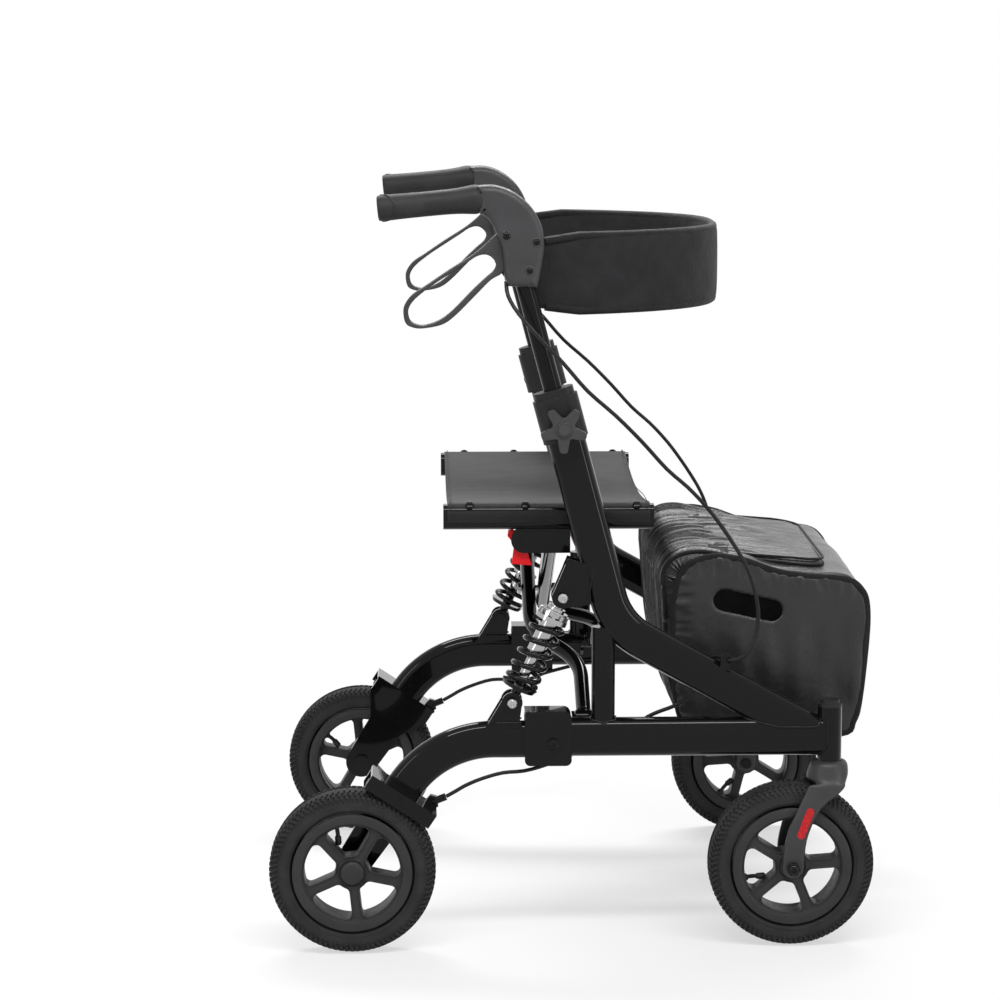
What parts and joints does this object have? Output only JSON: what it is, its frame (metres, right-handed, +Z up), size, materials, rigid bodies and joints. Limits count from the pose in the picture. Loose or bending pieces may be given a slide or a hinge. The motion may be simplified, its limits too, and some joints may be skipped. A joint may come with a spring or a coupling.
{
  "type": "all terrain rollator",
  "caption": "Folding outdoor rollator with sprung rear arms, air tyres, swivel castors, cross-braced side frames, sling seat, bag, back strap and loop brakes.",
  "frame": {"origin": "floor level, midway between the side frames and midway between the foremost and rearmost tyre edges", "axes": "+X forward, the way it is pushed; +Y to the user's left; +Z up"},
  "size_m": [0.727, 0.6166, 0.9135],
  "materials": {
    "frame_paint": "gloss black powder coat on aluminium tube",
    "tube_paint": "satin black coat on aluminium tube",
    "black_plastic": "matt black moulded plastic",
    "moulded_plastic": "satin dark grey moulded plastic",
    "wheel_plastic": "matt dark grey moulded plastic",
    "tyre_rubber": "grey-black pneumatic tyre",
    "grip_rubber": "soft dark grey rubber",
    "bolt_steel": "zinc plated",
    "damper_chrome": "bright chrome",
    "spring_steel": "gloss black coated spring steel",
    "reflector_red": "red reflector with a fine relief",
    "latch_red": "red moulded plastic",
    "cable_black": "black cable sheath",
    "seat_cloth": "black coated nylon",
    "bag_cloth": "black nylon with bound edges",
    "strap_cloth": "charcoal padded cloth"
  },
  "bodies": {
    "frame_right": {"side_frame_right": "frame_paint", "head_cap_right": "black_plastic", "hinge_bolts_right": "bolt_steel", "height_collar_right": "black_plastic", "brake_cable_right": "cable_black", "carry_bag": "bag_cloth"},
    "arm_right": {"swing_arm_right": "frame_paint", "shock_bolt_right": "bolt_steel", "rear_axle_right": "bolt_steel"},
    "rear_wheel_right": {"rear_rim_right": "wheel_plastic", "rear_tyre_right": "tyre_rubber", "hub_cap_right": "wheel_plastic"},
    "brake_right": {"brake_arm_right": "black_plastic"},
    "damper_right": {"shock_body_right": "damper_chrome", "shock_spring_right": "spring_steel"},
    "damper_rod_right": {"shock_rod_right": "damper_chrome"},
    "fork_right": {"caster_fork_right": "moulded_plastic", "reflector_right": "reflector_red", "caster_axle_right": "bolt_steel"},
    "caster_wheel_right": {"caster_rim_right": "wheel_plastic", "caster_tyre_right": "tyre_rubber"},
    "knob_right": {"star_knob_right": "black_plastic"},
    "handle_right": {"handle_tube_right": "tube_paint", "handle_housing_right": "moulded_plastic", "hand_grip_right": "grip_rubber", "back_strap": "strap_cloth"},
    "lever_right": {"brake_lever_right": "moulded_plastic"},
    "seat_right": {"seat_tube_right": "frame_paint", "seat_sling": "seat_cloth"},
    "frame_left": {"side_frame_left": "frame_paint", "head_cap_left": "black_plastic", "hinge_bolts_left": "bolt_steel", "height_collar_left": "black_plastic", "brake_cable_left": "cable_black"},
    "arm_left": {"swing_arm_left": "frame_paint", "shock_bolt_left": "bolt_steel", "rear_axle_left": "bolt_steel"},
    "rear_wheel_left": {"rear_rim_left": "wheel_plastic", "rear_tyre_left": "tyre_rubber", "hub_cap_left": "wheel_plastic"},
    "brake_left": {"brake_arm_left": "black_plastic"},
    "damper_left": {"shock_body_left": "damper_chrome", "shock_spring_left": "spring_steel"},
    "damper_rod_left": {"shock_rod_left": "damper_chrome"},
    "fork_left": {"caster_fork_left": "moulded_plastic", "reflector_left": "reflector_red", "caster_axle_left": "bolt_steel"},
    "caster_wheel_left": {"caster_rim_left": "wheel_plastic", "caster_tyre_left": "tyre_rubber"},
    "knob_left": {"star_knob_left": "black_plastic"},
    "handle_left": {"handle_tube_left": "tube_paint", "handle_housing_left": "moulded_plastic", "hand_grip_left": "grip_rubber"},
    "lever_left": {"brake_lever_left": "moulded_plastic"},
    "seat_left": {"seat_tube_left": "frame_paint"},
    "brace_a": {"cross_bar_right": "frame_paint", "cross_bolt": "bolt_steel"},
    "brace_b": {"cross_bar_left": "frame_paint"},
    "latch": {"fold_latch": "latch_red"}
  },
  "joints": [
    {"name": "fold", "type": "hinge", "parent": "frame_right", "child": "brace_a", "pos_m": [0.0155, -0.232, 0.272], "axis": [1, 0, 0], "range_deg": [0, 36], "deforming": ["seat_sling", "carry_bag", "back_strap"]},
    {"name": "fold_centre", "type": "hinge", "parent": "brace_a", "child": "brace_b", "pos_m": [-0.0335, 0, 0.388], "axis": [1, 0, 0], "range_deg": [-72, 0]},
    {"name": "fold_frame", "type": "hinge", "parent": "brace_b", "child": "frame_left", "pos_m": [0.0515, 0.232, 0.272], "axis": [1, 0, 0], "range_deg": [0, 36]},
    {"name": "fold_seat_left", "type": "hinge", "parent": "brace_a", "child": "seat_left", "pos_m": [-0.0435, 0.205, 0.4905], "axis": [1, 0, 0], "range_deg": [-36, 0]},
    {"name": "fold_seat_right", "type": "hinge", "parent": "brace_b", "child": "seat_right", "pos_m": [-0.0235, -0.205, 0.4905], "axis": [1, 0, 0], "range_deg": [0, 36]},
    {"name": "latch_turn", "type": "hinge", "parent": "seat_right", "child": "latch", "pos_m": [-0.0605, -0.221, 0.4885], "axis": [0, -1, 0], "range_deg": [0, 25], "stiffness_Nm_per_rad": 0.15},
    {"name": "suspension_right", "type": "hinge", "parent": "frame_right", "child": "arm_right", "pos_m": [-0.0235, -0.264, 0.251], "axis": [0, 1, 0], "range_deg": [0, 6], "stiffness_Nm_per_rad": 600, "deforming": ["shock_spring_right", "brake_cable_right"]},
    {"name": "damper_tilt_right", "type": "hinge", "parent": "frame_right", "child": "damper_right", "pos_m": [-0.0125, -0.264, 0.427], "axis": [0, 1, 0], "range_deg": [-1.25, 0]},
    {"name": "damper_stroke_right", "type": "slide", "parent": "damper_right", "child": "damper_rod_right", "axis": [-0.4272, 0, -0.9042], "range_m": [-0.00676, 0]},
    {"name": "rear_spin_right", "type": "hinge", "parent": "arm_right", "child": "rear_wheel_right", "pos_m": [-0.2635, -0.282, 0.1], "axis": [0, 1, 0], "continuous": true},
    {"name": "brake_shoe_right", "type": "hinge", "parent": "arm_right", "child": "brake_right", "pos_m": [-0.2065, -0.264, 0.1885], "axis": [0, 1, 0], "range_deg": [-3, 0]},
    {"name": "swivel_right", "type": "hinge", "parent": "frame_right", "child": "fork_right", "pos_m": [0.3085, -0.264, 0.2], "axis": [0, 0, 1], "continuous": true},
    {"name": "caster_spin_right", "type": "hinge", "parent": "fork_right", "child": "caster_wheel_right", "pos_m": [0.2635, -0.264, 0.1], "axis": [0, 1, 0], "continuous": true},
    {"name": "knob_turn_right", "type": "hinge", "parent": "frame_right", "child": "knob_right", "pos_m": [-0.01269, -0.289, 0.62955], "axis": [0, 1, 0], "continuous": true},
    {"name": "height_right", "type": "slide", "parent": "frame_right", "child": "handle_right", "axis": [-0.2588, 0, 0.9659], "range_m": [-0.1, 0], "deforming": ["brake_cable_right", "back_strap"]},
    {"name": "lever_right", "type": "hinge", "parent": "handle_right", "child": "lever_right", "pos_m": [-0.0795, -0.264, 0.855], "axis": [0, 1, 0], "range_deg": [0, 14], "stiffness_Nm_per_rad": 2},
    {"name": "suspension_left", "type": "hinge", "parent": "frame_left", "child": "arm_left", "pos_m": [-0.0235, 0.264, 0.251], "axis": [0, 1, 0], "range_deg": [0, 6], "stiffness_Nm_per_rad": 600, "deforming": ["shock_spring_left", "brake_cable_left"]},
    {"name": "damper_tilt_left", "type": "hinge", "parent": "frame_left", "child": "damper_left", "pos_m": [-0.0125, 0.264, 0.427], "axis": [0, 1, 0], "range_deg": [-1.25, 0]},
    {"name": "damper_stroke_left", "type": "slide", "parent": "damper_left", "child": "damper_rod_left", "axis": [-0.4272, 0, -0.9042], "range_m": [-0.00676, 0]},
    {"name": "rear_spin_left", "type": "hinge", "parent": "arm_left", "child": "rear_wheel_left", "pos_m": [-0.2635, 0.282, 0.1], "axis": [0, 1, 0], "continuous": true},
    {"name": "brake_shoe_left", "type": "hinge", "parent": "arm_left", "child": "brake_left", "pos_m": [-0.2065, 0.264, 0.1885], "axis": [0, 1, 0], "range_deg": [-3, 0]},
    {"name": "swivel_left", "type": "hinge", "parent": "frame_left", "child": "fork_left", "pos_m": [0.3085, 0.264, 0.2], "axis": [0, 0, 1], "continuous": true},
    {"name": "caster_spin_left", "type": "hinge", "parent": "fork_left", "child": "caster_wheel_left", "pos_m": [0.2635, 0.264, 0.1], "axis": [0, 1, 0], "continuous": true},
    {"name": "knob_turn_left", "type": "hinge", "parent": "frame_left", "child": "knob_left", "pos_m": [-0.01269, 0.289, 0.62955], "axis": [0, 1, 0], "continuous": true},
    {"name": "height_left", "type": "slide", "parent": "frame_left", "child": "handle_left", "axis": [-0.2588, 0, 0.9659], "range_m": [-0.1, 0], "deforming": ["brake_cable_left"]},
    {"name": "lever_left", "type": "hinge", "parent": "handle_left", "child": "lever_left", "pos_m": [-0.0795, 0.264, 0.855], "axis": [0, 1, 0], "range_deg": [0, 14], "stiffness_Nm_per_rad": 2}
  ],
  "couplings": [
    {"joint": "fold_centre", "follows": "fold", "ratio": -2},
    {"joint": "fold_frame", "follows": "fold", "ratio": 1},
    {"joint": "fold_seat_left", "follows": "fold", "ratio": -1},
    {"joint": "fold_seat_right", "follows": "fold", "ratio": 1},
    {"joint": "height_left", "follows": "height_right", "ratio": 1},
    {"joint": "damper_tilt_right", "follows": "suspension_right", "ratio": -0.19989},
    {"joint": "damper_stroke_right", "follows": "suspension_right", "m_per_rad": -0.063614},
    {"joint": "brake_shoe_right", "follows": "lever_right", "ratio": -0.21429},
    {"joint": "damper_tilt_left", "follows": "suspension_left", "ratio": -0.19989},
    {"joint": "damper_stroke_left", "follows": "suspension_left", "m_per_rad": -0.063614},
    {"joint": "brake_shoe_left", "follows": "lever_left", "ratio": -0.21429}
  ]
}
